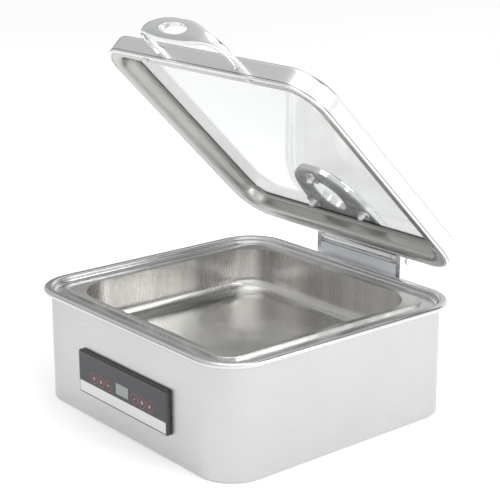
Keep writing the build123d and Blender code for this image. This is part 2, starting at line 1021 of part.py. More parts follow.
with BuildPart() as hinge_arm:
    with BuildSketch(lid_base.offset(arm_bottom)):
        with BuildLine():
            edge_start = Line((barrel_half, barrel_y - 4), (barrel_half, lid_rear - 30))
            Spline(
                edge_start @ 1,
                (61, lid_rear - 78),
                (45, lid_rear - 115),
                (25, lid_rear - 132),
                (0, lid_rear - arm_tip),
                tangents=[(0, -1), (-1, 0)],
            )
            mirror(about=Plane.YZ)
            Line((barrel_half, barrel_y - 4), (-barrel_half, barrel_y - 4))
        make_face()
    extrude(amount=arm_thickness)
    fillet(hinge_arm.faces().filter_by(lid_base).sort_by(lid_axis)[-1].edges(), radius=3)
    with BuildSketch(lid_side(-barrel_half)):
        with Locations((barrel_y, barrel_h)):
            Circle(barrel_radius)
        with BuildLine():
            Polyline(
                (barrel_y - 10, arm_top),
                (barrel_y + 2, arm_top),
                (barrel_y + 15.5, barrel_h + 7),
                (barrel_y, barrel_h),
                (barrel_y - 26, arm_bottom),
                (barrel_y - 26, arm_bottom + 4),
                close=True,
            )
        make_face()
    extrude(amount=2 * barrel_half)
    with BuildSketch(lid_base.offset(arm_bottom)):
        with Locations((0, lid_rear - 75)):
            Ellipse(23, 33)
    extrude(amount=arm_thickness, mode=Mode.SUBTRACT)
    extrude(
        disc(lid_base.offset(arm_bottom), [(x, lid_rear - v) for x, v in stud_points], stud_radius),
        amount=arm_thickness - 3,
        mode=Mode.SUBTRACT,
    )
    extrude(
        disc(lid_side(-barrel_half), [(barrel_y, barrel_h)], bush_radius),
        amount=2 * barrel_half,
        mode=Mode.SUBTRACT,
    )
    extrude(
        disc(lid_side(bush_length - barrel_half), [(barrel_y, barrel_h)], cavity_radius),
        amount=2 * (barrel_half - bush_length),
        mode=Mode.SUBTRACT,
    )
    with BuildSketch(side_plane(-barrel_half)):
        with Locations((hinge_y, hinge_z)):
            with PolarLocations(barrel_radius, 1, start_angle=groove_angle):
                Rectangle(groove_depth, groove_width)
    extrude(amount=2 * barrel_half, mode=Mode.SUBTRACT)
save(hinge_arm.part, "hinge_arm")

for bush_name, bush_x in (
    ("hinge_bush_left", -barrel_half),
    ("hinge_bush_right", barrel_half - bush_length),
):
    with BuildPart() as bush:
        extrude(disc(side_plane(bush_x), axis_point, bush_radius), amount=bush_length)
        extrude(
            disc(side_plane(bush_x), axis_point, pin_radius + running_gap),
            amount=bush_length,
            mode=Mode.SUBTRACT,
        )
    save(bush.part, bush_name)

stud_places = [(x, lid_rear - v) for x, v in stud_points]
gasket_bottom = glass_bottom + glass_thickness
with BuildPart() as arm_gasket:
    with BuildSketch(lid_base.offset(gasket_bottom)):
        with BuildLine():
            pad_edge = Line((64, lid_rear - 28), (64, lid_rear - 34))
            Spline(
                pad_edge @ 1,
                (59, lid_rear - 78),
                (43, lid_rear - 114),
                (24, lid_rear - 130),
                (0, lid_rear - arm_tip + 2),
                tangents=[(0, -1), (-1, 0)],
            )
            mirror(about=Plane.YZ)
            Line((64, lid_rear - 28), (-64, lid_rear - 28))
        make_face()
        with Locations((0, lid_rear - 75)):
            Ellipse(24, 34, mode=Mode.SUBTRACT)
        with Locations(*stud_places):
            Circle(3, mode=Mode.SUBTRACT)
    extrude(amount=arm_bottom - gasket_bottom)
save(arm_gasket.part, "arm_gasket")

washer_thickness = 2
washer_bottom = glass_bottom - washer_thickness
with BuildPart() as arm_washers:
    with BuildSketch(lid_base.offset(washer_bottom)):
        with Locations(*stud_places):
            Circle(12)
            Circle(2.8, mode=Mode.SUBTRACT)
    extrude(amount=washer_thickness)
save(arm_washers.part, "arm_washers")

with BuildPart() as arm_studs:
    extrude(disc(lid_base.offset(washer_bottom - 6), stud_places, stud_radius), amount=19)
save(arm_studs.part, "arm_studs")

nut_height = 4.5
dome_radius = 4.4
nut_radius = 5.6
with BuildPart() as acorn_nuts:
    with BuildSketch(lid_base.offset(washer_bottom)):
        with Locations(*stud_places):
            RegularPolygon(nut_radius, 6)
    extrude(amount=-nut_height)
    with BuildSketch(lid_base.offset(washer_bottom - nut_height)):
        with Locations(*stud_places):
            Circle(dome_radius)
    extrude(amount=-dome_radius)
    domes = acorn_nuts.faces().filter_by(lid_base).group_by(lid_axis)[0]
    fillet(domes.edges(), radius=dome_radius - 0.4)
    extrude(
        disc(lid_base.offset(washer_bottom), stud_places, stud_radius + 0.05),
        amount=-6,
        mode=Mode.SUBTRACT,
    )
save(acorn_nuts.part, "acorn_nuts")

# ---------------------------------------------------------------- lid
hem_width = 5
hem_height = 3.2
frame_corner = 6
handle_x = handle_half - leg_size / 2
handle_points = [(-handle_x, handle_level), (handle_x, handle_level)]
with BuildPart() as lid_frame:
    extrude(rounded_plate(lid_base, lid_width, lid_depth, lid_radius), amount=lid_height)
    fillet(lid_frame.faces().filter_by(lid_base).sort_by(lid_axis)[-1].edges(), radius=frame_corner)
    extrude(
        rounded_plate(
            lid_base.offset(hem_height),
            lid_width - 2 * sheet,
            lid_depth - 2 * sheet,
            lid_radius - sheet,
        ),
        amount=gasket_bottom - frame_corner - hem_height,
        mode=Mode.SUBTRACT,
    )
    extrude(
        rounded_plate(
            lid_base.offset(gasket_bottom - frame_corner),
            lid_width - 2 * frame_corner,
            lid_depth - 2 * frame_corner,
            lid_radius - frame_corner,
        ),
        amount=frame_corner,
        mode=Mode.SUBTRACT,
    )
    extrude(
        rounded_plate(
            lid_base,
            lid_width - 2 * hem_width,
            lid_depth - 2 * hem_width,
            lid_radius - hem_width,
        ),
        amount=hem_height,
        mode=Mode.SUBTRACT,
    )
    extrude(
        rounded_plate(
            lid_base,
            lid_width - 2 * frame_flange,
            lid_depth - 2 * frame_flange,
            lid_radius - frame_flange,
        ),
        amount=lid_height,
        mode=Mode.SUBTRACT,
    )
    fillet(lid_frame.faces().filter_by(lid_base).sort_by(lid_axis)[0].edges(), radius=1.4)
    extrude(
        disc(lid_face(0), handle_points, stud_radius + 0.2),
        amount=-sheet,
        mode=Mode.SUBTRACT,
    )
save(lid_frame.part, "lid_frame")

half_liner = liner_sheet / 2
liner_curve = 8
liner_level = 1.5
ledge_curve = 2
ledge_level = glass_bottom - 1.2 - half_liner
with BuildPart() as lid_liner:
    with BuildSketch(lid_side(0)):
        with BuildLine():
            curve_y = lid_front + liner_wall - liner_curve
            Line((lid_front + hem_width + 0.2, liner_level), (curve_y, liner_level))
            CenterArc((curve_y, liner_level + liner_curve), liner_curve, 270, 90)
            wall_y = curve_y + liner_curve
            Line((wall_y, liner_level + liner_curve), (wall_y, ledge_level - ledge_curve))
            CenterArc((wall_y + ledge_curve, ledge_level - ledge_curve), ledge_curve, 180, -90)
            Line((wall_y + ledge_curve, ledge_level), (lid_front + ledge_end, ledge_level))
        trace(line_width=liner_sheet)
    sweep(path=border_path(lid_base, lid_width, lid_depth, lid_radius))
save(lid_liner.part, "lid_liner")

with BuildPart() as glass_seal:
    extrude(
        rounded_ring(
            lid_base.offset(glass_bottom - 1.2),
            lid_width - 2 * 21,
            lid_depth - 2 * 21,
            lid_radius - 21,
            lid_width - 2 * 29.5,
            lid_depth - 2 * 29.5,
            lid_radius - 29.5,
        ),
        amount=1.2,
    )
save(glass_seal.part, "glass_seal")

glass_margin = 7
with BuildPart() as lid_glass:
    extrude(
        rounded_plate(
            lid_base.offset(glass_bottom),
            lid_width - 2 * glass_margin,
            lid_depth - 2 * glass_margin,
            lid_radius - glass_margin,
        ),
        amount=glass_thickness,
    )
    extrude(
        disc(lid_base.offset(glass_bottom), stud_places, 3.2),
        amount=glass_thickness,
        mode=Mode.SUBTRACT,
    )
save(lid_glass.part, "lid_glass")

bumper_radius = 4.2
bumper_drop = 1.2
bumper_x = 107
bumper_places = [(-bumper_x, lid_front + 7.2), (bumper_x, lid_front + 7.2)]
stem_places = [(x, y + 1.8) for x, y in bumper_places]
with BuildPart() as lid_bumpers:
    extrude(disc(lid_base.offset(-bumper_drop), bumper_places, bumper_radius), amount=bumper_drop)
    bumper_ends = lid_bumpers.faces().filter_by(lid_base).group_by(lid_axis)[0]
    fillet(bumper_ends.edges(), radius=0.9)
    extrude(disc(lid_base, stem_places, 2), amount=liner_level - half_liner)
save(lid_bumpers.part, "lid_bumpers")

# The handle: a broad bowed strap with an oval hole, on two thin legs. Its outer line in plan is
# a superellipse, and it narrows from a broad middle to the legs.
bow_power = 4
bow_angles = range(-90, 91, 15)
swell_width = 62
swell_power = 3
strap_swell = 13.2
strap_shift = 2.5
strap_hole_level = 17


def bow(angle, half, reach):
    """A point of the handle's line in plan, half a superellipse."""
    turn = radians(angle)
    across = half * copysign(abs(sin(turn)) ** (2 / bow_power), turn)
    out = reach * cos(turn) ** (2 / bow_power)
    return (across, lid_front - out)


def strap_edge(x, side):
    """A point of the strap's top (side 1) or bottom (side -1) edge, as seen from the front."""
    swell = exp(-((abs(x) / swell_width) ** swell_power))
    middle = handle_level + strap_shift * swell
    return (x, middle + side * (leg_size / 2 + strap_swell * swell))


strap_span = range(-90, 91, 15)
with BuildPart() as handle:
    with BuildSketch(lid_base.offset(-leg_size)):
        with BuildLine():
            outer_line = Spline(
                *[bow(angle, handle_half, handle_reach) for angle in bow_angles],
                tangents=[(0, -1), (0, 1)],
            )
            inner_line = Spline(
                *[
                    bow(angle, handle_half - leg_size, handle_reach - strap_size)
                    for angle in bow_angles
                ],
                tangents=[(0, -1), (0, 1)],
            )
            Line(outer_line @ 0, inner_line @ 0)
            Line(outer_line @ 1, inner_line @ 1)
        make_face()
    extrude(amount=2 * handle_reach)
    with BuildSketch(lid_face(-1)):
        with BuildLine():
            top_edge = Spline(*[strap_edge(x, 1) for x in strap_span])
            bottom_edge = Spline(*[strap_edge(x, -1) for x in strap_span])
            Line(top_edge @ 0, bottom_edge @ 0)
            Line(top_edge @ 1, bottom_edge @ 1)
        make_face()
    extrude(amount=handle_reach + 4, mode=Mode.INTERSECT)
    with BuildSketch(lid_face(20)):
        with Locations((0, strap_hole_level)):
            Ellipse(29, 10.5)
    extrude(amount=handle_reach, mode=Mode.SUBTRACT)
    extrude(disc(lid_face(0), handle_points, stud_radius), amount=12, mode=Mode.SUBTRACT)
save(handle.part, "handle")

screw_head = 3.5
with BuildPart() as handle_screws:
    extrude(disc(lid_face(-sheet - 1 - screw_head), handle_points, 4.4), amount=screw_head)
    extrude(disc(lid_face(-sheet - 1), handle_points, stud_radius), amount=13)
save(handle_screws.part, "handle_screws")

# ---------------------------------------------------------------- food pan
mouth_width = pan_width - 2 * pan_edge - 8
mouth_depth = pan_depth - 2 * pan_edge - 8
pan_floor = pan_top - pan_height
with BuildPart() as pan_inside:
    extrude(
        rounded_plate(
            Plane.XY.offset(pan_floor + pan_sheet), mouth_width, mouth_depth, pan_corner - 4
        ),
        amount=pan_height,
    )
    fillet(pan_inside.faces().sort_by(Axis.Z)[0].edges(), radius=pan_cove)

with BuildPart() as food_pan:
    extrude(
        rounded_plate(
            Plane.XY.offset(pan_floor),
            mouth_width + 2 * pan_sheet,
            mouth_depth + 2 * pan_sheet,
            pan_corner - 4 + pan_sheet,
        ),
        amount=pan_height - pan_edge_height,
    )
    fillet(food_pan.faces().sort_by(Axis.Z)[0].edges(), radius=pan_cove + pan_sheet)
    with BuildSketch(Plane.XY.offset(seat_level)):
        RectangleRounded(pan_width, pan_depth, pan_radius)
    extrude(amount=pan_edge_height)
    fillet(food_pan.faces().sort_by(Axis.Z)[-1].edges(), radius=1.5)
    add(pan_inside.part, mode=Mode.SUBTRACT)
save(food_pan.part, "food_pan")
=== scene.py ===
import json
import math

import bmesh
import bpy
from mathutils import Matrix, Vector


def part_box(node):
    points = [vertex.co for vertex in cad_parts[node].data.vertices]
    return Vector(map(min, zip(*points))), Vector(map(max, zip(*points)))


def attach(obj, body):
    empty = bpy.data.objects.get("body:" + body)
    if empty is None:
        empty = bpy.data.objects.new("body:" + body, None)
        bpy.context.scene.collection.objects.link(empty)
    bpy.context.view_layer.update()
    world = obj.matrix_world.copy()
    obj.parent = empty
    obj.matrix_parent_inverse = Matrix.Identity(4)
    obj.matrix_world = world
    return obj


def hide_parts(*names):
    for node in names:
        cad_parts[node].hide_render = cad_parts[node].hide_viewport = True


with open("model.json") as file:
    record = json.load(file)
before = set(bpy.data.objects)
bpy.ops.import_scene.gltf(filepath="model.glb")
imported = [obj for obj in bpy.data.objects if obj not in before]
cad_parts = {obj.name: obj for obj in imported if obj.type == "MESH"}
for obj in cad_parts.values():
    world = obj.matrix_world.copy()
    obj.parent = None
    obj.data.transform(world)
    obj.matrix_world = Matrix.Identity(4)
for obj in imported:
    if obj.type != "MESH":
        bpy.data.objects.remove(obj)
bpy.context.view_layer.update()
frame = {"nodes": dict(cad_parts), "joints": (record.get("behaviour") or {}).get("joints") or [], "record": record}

MM = 0.001
WHITE = (1.0, 1.0, 1.0)

# ------------------------------------------------------------------ places read from the frame
lid_joint = next(j for j in frame["joints"] if j["name"] == "lid_hinge")
hinge_point = Vector(lid_joint["pos_m"])
opening_angle = math.radians(lid_joint["range_deg"][1])
close_lid = (
    Matrix.Translation(hinge_point)
    @ Matrix.Rotation(opening_angle, 4, "X")
    @ Matrix.Translation(-hinge_point)
)
open_lid = close_lid.inverted()


def closed_box(node):
    """The box of a lid node with the lid closed, where the lid is level."""
    points = [close_lid @ v.co for v in frame["nodes"][node].data.vertices]
    low = Vector([min(p[i] for p in points) for i in range(3)])
    high = Vector([max(p[i] for p in points) for i in range(3)])
    return low, high


# ------------------------------------------------------------------ materials
def new_material(name):
    """An empty node material with its Principled shader and output."""
    material = bpy.data.materials.new(name)
    material.use_nodes = True
    nodes = material.node_tree.nodes
    nodes.clear()
    shader = nodes.new("ShaderNodeBsdfPrincipled")
    output = nodes.new("ShaderNodeOutputMaterial")
    material.node_tree.links.new(shader.outputs["BSDF"], output.inputs["Surface"])
    return material, shader


def add_noise(material, stretch, detail=4.0, roughness=0.6, distortion=0.0):
    """A noise in object space, stretched by a scale on each axis, and its value socket."""
    tree = material.node_tree
    place = tree.nodes.new("ShaderNodeTexCoord")
    mapping = tree.nodes.new("ShaderNodeMapping")
    mapping.inputs["Scale"].default_value = stretch
    noise = tree.nodes.new("ShaderNodeTexNoise")
    noise.inputs["Scale"].default_value = 1.0
    noise.inputs["Detail"].default_value = detail
    noise.inputs["Roughness"].default_value = roughness
    noise.inputs["Distortion"].default_value = distortion
    tree.links.new(place.outputs["Object"], mapping.inputs["Vector"])
    tree.links.new(mapping.outputs["Vector"], noise.inputs["Vector"])
    return noise.outputs["Fac"]


def remap(material, value, low, high, start=0.3, end=0.7):
    """The value, read between start and end, as a number from low to high."""
    tree = material.node_tree
    node = tree.nodes.new("ShaderNodeMapRange")
    node.inputs["From Min"].default_value = start
    node.inputs["From Max"].default_value = end
    node.inputs["To Min"].default_value = low
    node.inputs["To Max"].default_value = high
    tree.links.new(value, node.inputs["Value"])
    return node.outputs["Result"]


def combine(material, operation, first, second):
    """Two value sockets joined by a math operation."""
    tree = material.node_tree
    node = tree.nodes.new("ShaderNodeMath")
    node.operation = operation
    tree.links.new(first, node.inputs[0])
    tree.links.new(second, node.inputs[1])
    return node.outputs["Value"]


def blend_colours(material, factor, first, second):
    """A colour between two, by a value socket. A colour may be three numbers or a socket."""
    tree = material.node_tree
    node = tree.nodes.new("ShaderNodeMix")
    node.data_type = "RGBA"
    tree.links.new(factor, node.inputs["Factor"])
    for colour, socket in ((first, node.inputs["A"]), (second, node.inputs["B"])):
        if isinstance(colour, bpy.types.NodeSocket):
            tree.links.new(colour, socket)
        else:
            socket.default_value = (*colour, 1.0)
    return node.outputs["Result"]


def add_bump(material, shader, height, strength, distance):
    """Bump from a value socket."""
    tree = material.node_tree
    bump = tree.nodes.new("ShaderNodeBump")
    bump.inputs["Strength"].default_value = strength
    bump.inputs["Distance"].default_value = distance
    tree.links.new(height, bump.inputs["Height"])
    tree.links.new(bump.outputs["Normal"], shader.inputs["Normal"])


def grey(level, tint=WHITE):
    """A grey of a level, turned a little towards a tint."""
    return tuple(level * t for t in tint)


SMUDGE_SCALE = 9.0
SMUDGE_SHADE = 0.93
MARK_SCALE = 0.13
METAL_RELIEF = 0.00008


def metal(
    name, level, rough, grain, tint=WHITE, contrast=0.05, spread=0.05, bump=0.06, streak=0.0
):
    """Satin metal: fine drawn grain, broad smudges in the polish, and a shallow bump."""
    material, shader = new_material(name)
    shader.inputs["Metallic"].default_value = 1.0
    fine = add_noise(material, grain, detail=6.0, roughness=0.7)
    smudge = add_noise(material, (SMUDGE_SCALE,) * 3, detail=3.0, distortion=0.6)
    marks = add_noise(material, tuple(MARK_SCALE * g for g in grain), detail=3.0)
    mixed = blend_colours(
        material,
        remap(material, fine, 0.0, 1.0),
        grey(level * (1 - contrast), tint),
        grey(level * (1 + contrast), tint),
    )
    shaded = blend_colours(
        material, remap(material, smudge, 0.0, 0.35), mixed, grey(level * SMUDGE_SHADE, tint)
    )
    material.node_tree.links.new(shaded, shader.inputs["Base Color"])
    grain_rough = remap(material, fine, rough - spread, rough + spread)
    smudge_rough = remap(material, smudge, -0.4 * spread, 0.6 * spread)
    total = combine(material, "ADD", grain_rough, smudge_rough)
    material.node_tree.links.new(total, shader.inputs["Roughness"])
    height = combine(material, "ADD", fine, marks)
    add_bump(material, shader, height, bump, METAL_RELIEF)
    if streak:
        shader.inputs["Anisotropic"].default_value = streak
        tangent = material.node_tree.nodes.new("ShaderNodeTangent")
        tangent.direction_type = "RADIAL"
        tangent.axis = "Z"
        material.node_tree.links.new(tangent.outputs["Tangent"], shader.inputs["Tangent"])
    return material


# Stretch and levels of the upright wall streaks: partly drawing marks, partly painted reflection streaks.
STREAK_STRETCH = (13.0, 13.0, 0.5)
STREAK_DARK = 0.76
STREAK_LIGHT = 1.26


def drawn_steel_painted_streaks(name, level, rough, grain, tint):
    """Deep-drawn satin steel: upright light and dark streaks on its walls, none on its floor; partly drawing
    marks, partly painted streaks of reflection.
    """
    material = metal(
        name, level, rough, grain, tint, contrast=0.012, spread=0.03, bump=0.006, streak=0.75
    )
    tree = material.node_tree
    shader = next(n for n in tree.nodes if n.type == "BSDF_PRINCIPLED")
    plain = shader.inputs["Base Color"].links[0].from_socket
    # Upright streaks on the walls: partly drawing marks, partly painted streaks of reflection.
    draw_marks_and_sheen = add_noise(material, STREAK_STRETCH, detail=2.0)
    marks_and_sheen_colour = blend_colours(
        material,
        remap(material, draw_marks_and_sheen, 0.0, 1.0, 0.38, 0.60),
        grey(level * STREAK_DARK, tint),
        grey(level * STREAK_LIGHT, tint),
    )
    geometry = tree.nodes.new("ShaderNodeNewGeometry")
    facing = tree.nodes.new("ShaderNodeVectorMath")
    facing.operation = "DOT_PRODUCT"
    facing.inputs[1].default_value = (0.0, 0.0, 1.0)
    tree.links.new(geometry.outputs["Normal"], facing.inputs[0])
    upright = remap(material, facing.outputs["Value"], 1.0, 0.0, 0.2, 0.65)
    final = blend_colours(material, upright, plain, marks_and_sheen_colour)
    tree.links.new(final, shader.inputs["Base Color"])
    return material


PEEL_SCALE = 60.0


def polished(name, level, rough, tint=WHITE):
    """Mirror-polished plate: faint hazing, wiped swirls and a trace of orange peel."""
    material, shader = new_material(name)
    shader.inputs["Metallic"].default_value = 1.0
    haze = add_noise(material, (14.0, 14.0, 14.0), detail=4.0, distortion=0.8)
    peel = add_noise(material, (PEEL_SCALE,) * 3, detail=2.0)
    wipes = add_noise(material, (260.0, 40.0, 60.0), detail=5.0, roughness=0.75)
    colour = blend_colours(
        material, remap(material, haze, 0.0, 1.0), grey(level, tint), grey(level * 0.92, tint)
    )
    material.node_tree.links.new(colour, shader.inputs["Base Color"])
    base = remap(material, haze, rough * 0.6, rough * 1.5)
    extra = remap(material, wipes, 0.0, rough * 0.6)
    total = combine(material, "ADD", base, extra)
    material.node_tree.links.new(total, shader.inputs["Roughness"])
    add_bump(material, shader, peel, 0.05, 0.0002)
    return material


def dielectric(name, colour, other, rough, spread, scale, bump=0.1, depth=0.0001, coat=0.0):
    """Moulded plastic, rubber or lacquer: mottled colour, uneven gloss and a grain."""
    material, shader = new_material(name)
    fine = add_noise(material, (scale, scale, scale), detail=5.0, roughness=0.65)
    broad = add_noise(material, (12.0, 12.0, 12.0), detail=3.0, distortion=0.5)
    mixed = blend_colours(material, remap(material, broad, 0.0, 1.0), colour, other)
    material.node_tree.links.new(mixed, shader.inputs["Base Color"])
    low = remap(material, fine, rough - spread, rough + spread)
    wide = remap(material, broad, -0.3 * spread, 0.3 * spread)
    total = combine(material, "ADD", low, wide)
    material.node_tree.links.new(total, shader.inputs["Roughness"])
    add_bump(material, shader, fine, bump, depth)
    shader.inputs["Coat Weight"].default_value = coat
    shader.inputs["Coat Roughness"].default_value = 0.04
    return material


def clear_glass(name):
    """Tempered glass with a faint green tint and a trace of wiped haze."""
    material, shader = new_material(name)
    shader.inputs["Transmission Weight"].default_value = 1.0
    shader.inputs["IOR"].default_value = 1.5
    haze = add_noise(material, (7.0, 7.0, 7.0), detail=4.0, distortion=0.7)
    tint = blend_colours(
        material, remap(material, haze, 0.0, 1.0), (0.875, 0.893, 0.888), (0.852, 0.872, 0.866)
    )
    material.node_tree.links.new(tint, shader.inputs["Base Color"])
    material.node_tree.links.new(
        remap(material, haze, 0.0, 0.03), shader.inputs["Roughness"]
    )
    return material


def soft_silicone(name):
    """Milky silicone rubber that lets some light through."""
    material, shader = new_material(name)
    shader.inputs["Transmission Weight"].default_value = 0.3
    shader.inputs["IOR"].default_value = 1.41
    haze = add_noise(material, (220.0, 220.0, 220.0), detail=3.0)
    tint = blend_colours(
        material, remap(material, haze, 0.0, 1.0), (0.93, 0.94, 0.93), (0.86, 0.88, 0.87)
    )
    material.node_tree.links.new(tint, shader.inputs["Base Color"])
    material.node_tree.links.new(
        remap(material, haze, 0.25, 0.4), shader.inputs["Roughness"]
    )
    add_bump(material, shader, haze, 0.1, 0.0001)
    return material


def hinge_plate_finish(name):
    """Pale lacquered steel with a cool cast, finely brushed from side to side."""
    material, shader = new_material(name)
    shader.inputs["Metallic"].default_value = 0.1
    shader.inputs["Coat Weight"].default_value = 0.6
    brush = add_noise(material, (25.0, 1200.0, 1200.0), detail=5.0)
    tone = blend_colours(
        material, remap(material, brush, 0.0, 1.0), (0.91, 0.94, 0.99), (0.95, 0.97, 1.0)
    )
    material.node_tree.links.new(tone, shader.inputs["Base Color"])
    material.node_tree.links.new(remap(material, brush, 0.18, 0.3), shader.inputs["Roughness"])
    add_bump(material, shader, brush, 0.03, 0.0001)
    return material


ALONG_SIDES = (6.0, 6.0, 1500.0)
ALONG_X = (8.0, 1300.0, 1300.0)
ALL_ROUND = (700.0, 700.0, 700.0)

finishes = {
    "body_steel": metal("body_steel", 0.59, 0.30, ALONG_SIDES, contrast=0.03, streak=0.6),
    "rim_steel": metal("rim_steel", 0.72, 0.24, ALL_ROUND, contrast=0.02, spread=0.03, bump=0.02),
    "plain_steel": metal("plain_steel", 0.60, 0.38, (500.0, 20.0, 500.0)),
    "fasteners": metal("fasteners", 0.58, 0.20, (900.0, 900.0, 900.0), bump=0.05),
    "rubber": dielectric("rubber", grey(0.03), grey(0.05), 0.6, 0.1, 900.0),
    "heater_metal": metal("heater_metal", 0.62, 0.45, (120.0, 120.0, 120.0), bump=0.2),
    "dark_plastic": dielectric("dark_plastic", grey(0.03), grey(0.05), 0.42, 0.08, 1400.0),
    "brass": metal("brass", 0.75, 0.25, (1200.0, 30.0, 30.0), tint=(1.0, 0.74, 0.36)),
    "insulation": dielectric(
        "insulation", (0.8, 0.77, 0.7), (0.66, 0.62, 0.55), 0.9, 0.08, 500.0
    ),
    "circuit_board": dielectric(
        "circuit_board", (0.02, 0.16, 0.06), (0.03, 0.22, 0.09), 0.3, 0.06, 600.0
    ),
    "light_plastic": dielectric("light_plastic", grey(0.75), grey(0.65), 0.45, 0.08, 900.0),
    "relay_plastic": dielectric(
        "relay_plastic", (0.03, 0.09, 0.3), (0.04, 0.12, 0.38), 0.3, 0.05, 900.0
    ),
    "lead_sleeve": dielectric("lead_sleeve", grey(0.05), grey(0.11), 0.7, 0.1, 1500.0, bump=0.5),
    "panel_black": dielectric(
        "panel_black", grey(0.012), grey(0.018), 0.12, 0.03, 1500.0, coat=0.6
    ),
    "panel_glass": dielectric(
        "panel_glass", (0.030, 0.032, 0.037), (0.038, 0.040, 0.046), 0.09, 0.02, 1200.0
    ),
    "screen": dielectric(
        "screen", (0.26, 0.29, 0.27), (0.22, 0.25, 0.23), 0.12, 0.03, 1500.0, coat=0.8
    ),
    "trim_silver": metal("trim_silver", 0.68, 0.34, ALONG_X, contrast=0.04),
    "screen_module": dielectric(
        "screen_module", (0.2, 0.24, 0.2), (0.3, 0.34, 0.3), 0.2, 0.04, 900.0
    ),
    "key_red": dielectric("key_red", (0.6, 0.05, 0.04), (0.5, 0.03, 0.03), 0.3, 0.05, 900.0),
    "pin_metal": metal("pin_metal", 0.75, 0.25, ALL_ROUND, tint=(1.0, 0.9, 0.62)),
    "hinge_steel": metal("hinge_steel", 0.76, 0.26, (40.0, 1300.0, 60.0), contrast=0.03),
    "chrome": polished("chrome", 0.86, 0.05, tint=(0.975, 0.99, 1.0)),
    "spring_steel": metal("spring_steel", 0.4, 0.35, (900.0, 60.0, 60.0)),
    "clear_silicone": soft_silicone("clear_silicone"),
    "lid_steel": metal("lid_steel", 0.80, 0.24, ALL_ROUND, contrast=0.03, bump=0.03),
    "liner_steel": metal(
        "liner_steel", 0.57, 0.32, ALONG_X, tint=(1.0, 0.99, 0.965), contrast=0.03, bump=0.015
    ),
    "seal": dielectric("seal", grey(0.05), grey(0.08), 0.5, 0.1, 900.0),
    # The pan's walls carry painted reflection streaks along with drawing marks.
    "pan_steel": drawn_steel_painted_streaks(
        "pan_steel", 0.62, 0.25, (900.0, 900.0, 60.0), (1.0, 0.985, 0.955)
    ),
    "hinge_plate": hinge_plate_finish("hinge_plate"),
    "lid_glass": clear_glass("lid_glass"),
}

slot_of = {s["node"]: s["material_slot"] for s in frame["record"]["subparts"]}
for node_name, node in frame["nodes"].items():
    finish = finishes["hinge_plate" if node_name == "hinge_front_plate" else slot_of[node_name]]
    node.data.materials.clear()
    node.data.materials.append(finish)


# ------------------------------------------------------------------ mesh tools
def link_piece(name, mesh, slot, body):
    """A new piece in the scene, with its finish, that moves with a body."""
    piece = bpy.data.objects.new(name, mesh)
    bpy.context.scene.collection.objects.link(piece)
    mesh.materials.clear()
    mesh.materials.append(finishes[slot])
    mesh.shade_smooth()
    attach(piece, body)
    return piece


def plain_mesh(name, points, faces):
    """A mesh from points and faces, with its faces turned outwards."""
    mesh = bpy.data.meshes.new(name)
    mesh.from_pydata(points, [], faces)
    work = bmesh.new()
    work.from_mesh(mesh)
    bmesh.ops.recalc_face_normals(work, faces=work.faces)
    work.to_mesh(mesh)
    work.free()
    return mesh


def tube_faces(stations, around, closed):
    """The faces of a tube of rings: open with two end caps, or closed on itself."""
    faces = []
    for i in range(stations if closed else stations - 1):
        here = i * around
        there = (i + 1) % stations * around
        for j in range(around):
            k = (j + 1) % around
            faces.append((here + j, here + k, there + k, there + j))
    if not closed:
        last = (stations - 1) * around
        faces.append(tuple(range(around)))
        faces.append(tuple(last + j for j in reversed(range(around))))
    return faces


def apply_modifiers(piece):
    """Keep what the modifiers make of a piece, and drop them."""
    graph = bpy.context.evaluated_depsgraph_get()
    result = bpy.data.meshes.new_from_object(piece.evaluated_get(graph))
    before = piece.data
    piece.modifiers.clear()
    piece.data = result
    bpy.data.meshes.remove(before)


# ------------------------------------------------------------------ the handle
lid_low, lid_high = closed_box("lid_frame")
HANDLE_HALF = 86.0
HANDLE_REACH = 56.8
HANDLE_POWER = 4.0
HANDLE_LEVEL = 13.0
STRAP_SWELL_WIDTH = 62.0
STRAP_SWELL_POWER = 3
STRAP_RISE = 2.5
FOOT_FLARE_LENGTH = 5.0
SECTION_SQUARENESS = 0.78
SECTION_TAPER = 0.42
HOLE_LEVEL = 15.8
HOLE_HALF = (27.0, 9.0)
HOLE_CUT = (30.0, 75.0)
HOLE_POINTS = 96
HANDLE_VOXEL = 0.75


def lid_point(across, reach, rise):
    """A point in front of the lid, from its front wall and its lower edge, in millimetres."""
    level = Vector((across * MM, lid_low.y - reach * MM, lid_low.z + rise * MM))
    return open_lid @ level


def bow_line(count):
    """Even steps along the handle's line in plan, half a superellipse, from foot to foot."""
    fine = []
    for i in range(40 * count + 1):
        turn = math.pi * i / (40 * count)
        across = abs(math.cos(turn)) ** (2 / HANDLE_POWER)
        reach = abs(math.sin(turn)) ** (2 / HANDLE_POWER)
        fine.append(
            Vector((math.copysign(HANDLE_HALF * across, math.cos(turn)), HANDLE_REACH * reach))
        )
    fine[-1].y = 0.0
    lengths = [0.0]
    for before, after in zip(fine, fine[1:]):
        lengths.append(lengths[-1] + (after - before).length)
    line = []
    place = 0
    for i in range(count):
        target = lengths[-1] * i / (count - 1)
        while place < len(fine) - 2 and lengths[place + 1] < target:
            place += 1
        share = (target - lengths[place]) / (lengths[place + 1] - lengths[place])
        line.append(fine[place].lerp(fine[place + 1], share))
    return line


